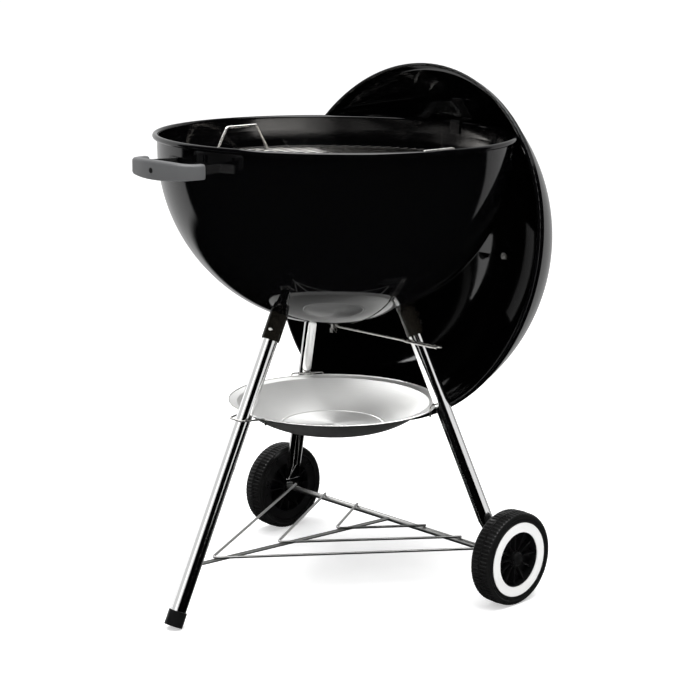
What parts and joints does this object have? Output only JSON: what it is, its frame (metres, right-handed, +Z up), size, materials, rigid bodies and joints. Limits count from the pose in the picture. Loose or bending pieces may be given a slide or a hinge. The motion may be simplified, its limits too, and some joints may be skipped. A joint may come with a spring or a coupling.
{
  "type": "kettle charcoal grill",
  "caption": "Round kettle charcoal grill on one plain leg and two wheeled legs, with ash catcher, wire rack, carrying handle and a domed lid hung behind the bowl.",
  "frame": {"origin": "on the floor, at the middle of the box round the whole grill", "axes": "+Z up; +Y from the front leg and carrying handle towards the wheels and the hung lid; +X along the axle towards the ash lever"},
  "size_m": [0.591, 0.7862, 0.8399],
  "materials": {
    "black_enamel": "glossy porcelain enamel",
    "polished_aluminium": "polished tube",
    "brushed_aluminium": "brushed sheet",
    "aluminised_steel": "dull aluminised sheet",
    "plated_steel": "bright zinc plate",
    "satin_steel": "satin zinc plate",
    "grate_steel": "bright plated wire",
    "coal_grate_steel": "plain steel wire",
    "socket_steel": "black enamel",
    "black_plastic": "fine moulded texture",
    "grey_plastic": "fine moulded texture",
    "white_plastic": "smooth moulded"
  },
  "bodies": {
    "cart": {"ash_catcher": "brushed_aluminium", "ash_clip_front": "plated_steel", "ash_clip_rear_left": "plated_steel", "ash_clip_rear_right": "plated_steel", "axle": "satin_steel", "axle_washer_left": "plated_steel", "axle_washer_right": "plated_steel", "bowl": "black_enamel", "charcoal_grate_tabs": "black_enamel", "cooking_grate_tabs": "black_enamel", "foot_cap": "black_plastic", "handle_grip": "grey_plastic", "handle_strap": "black_enamel", "hub_cap_left": "black_plastic", "hub_cap_right": "black_plastic", "leg_front": "polished_aluminium", "leg_rear_left": "polished_aluminium", "leg_rear_right": "polished_aluminium", "leg_socket_front": "socket_steel", "leg_socket_rear_left": "socket_steel", "leg_socket_rear_right": "socket_steel", "rack_spine": "satin_steel", "rack_wire_inner": "satin_steel", "rack_wire_middle": "satin_steel", "rack_wire_outer": "satin_steel", "socket_rivets": "socket_steel"},
    "sweeper": {"sweeper_blades": "aluminised_steel", "sweeper_shaft": "plated_steel", "sweeper_nuts": "plated_steel", "sweeper_lever": "plated_steel"},
    "cooking_grate": {"cooking_grate_rods": "grate_steel", "cooking_grate_ring": "grate_steel", "cooking_grate_loop_left": "grate_steel", "cooking_grate_loop_right": "grate_steel"},
    "charcoal_grate": {"charcoal_grate_rods": "coal_grate_steel", "charcoal_grate_ring": "coal_grate_steel"},
    "lid": {"lid_shell": "black_enamel", "lid_damper_rivet": "plated_steel", "lid_posts": "plated_steel", "lid_heat_shield": "brushed_aluminium", "lid_grip": "grey_plastic", "lid_hook": "black_enamel"},
    "damper": {"lid_damper": "brushed_aluminium"},
    "wheel_left": {"tyre_left": "black_plastic", "wheel_ring_left": "white_plastic", "wheel_hub_left": "black_plastic"},
    "button_rear_left": {"leg_button_rear_left": "plated_steel"},
    "wheel_right": {"tyre_right": "black_plastic", "wheel_ring_right": "white_plastic", "wheel_hub_right": "black_plastic"},
    "button_rear_right": {"leg_button_rear_right": "plated_steel"},
    "button_front": {"leg_button_front": "plated_steel"}
  },
  "joints": [
    {"name": "lid_swing", "type": "hinge", "parent": "cart", "child": "lid", "pos_m": [0, -0.02936, 0.58319], "axis": [1, 0, 0], "range_deg": [0, 101.2]},
    {"name": "damper_turn", "type": "hinge", "parent": "lid", "child": "damper", "pos_m": [0, 0.33327, 0.63088], "axis": [0, 0.9791, 0.2035], "range_deg": [-45, 0]},
    {"name": "sweeper_turn", "type": "hinge", "parent": "cart", "child": "sweeper", "pos_m": [0, -0.02658, 0.43], "axis": [0, 0, 1], "range_deg": [-60, 15]},
    {"name": "cooking_grate_lift", "type": "slide", "parent": "cart", "child": "cooking_grate", "axis": [0, 0, 1], "range_m": [0, 0.06]},
    {"name": "charcoal_grate_lift", "type": "slide", "parent": "cart", "child": "charcoal_grate", "axis": [0, 0, 1], "range_m": [0, 0.1]},
    {"name": "wheel_left_spin", "type": "hinge", "parent": "cart", "child": "wheel_left", "pos_m": [-0.27, 0.10842, 0.0762], "axis": [1, 0, 0], "continuous": true},
    {"name": "wheel_right_spin", "type": "hinge", "parent": "cart", "child": "wheel_right", "pos_m": [0.27, 0.10842, 0.0762], "axis": [1, 0, 0], "continuous": true},
    {"name": "button_press_front", "type": "slide", "parent": "cart", "child": "button_front", "axis": [-0.5, 0.7829, -0.3703], "range_m": [0, 0.003], "stiffness_N_per_m": 600, "springref_m": -0.002},
    {"name": "button_press_rear_right", "type": "slide", "parent": "cart", "child": "button_rear_right", "axis": [-0.4596, -0.8253, -0.3283], "range_m": [0, 0.003], "stiffness_N_per_m": 600, "springref_m": -0.002},
    {"name": "button_press_rear_left", "type": "slide", "parent": "cart", "child": "button_rear_left", "axis": [0.4596, -0.8253, -0.3283], "range_m": [0, 0.003], "stiffness_N_per_m": 600, "springref_m": -0.002}
  ]
}
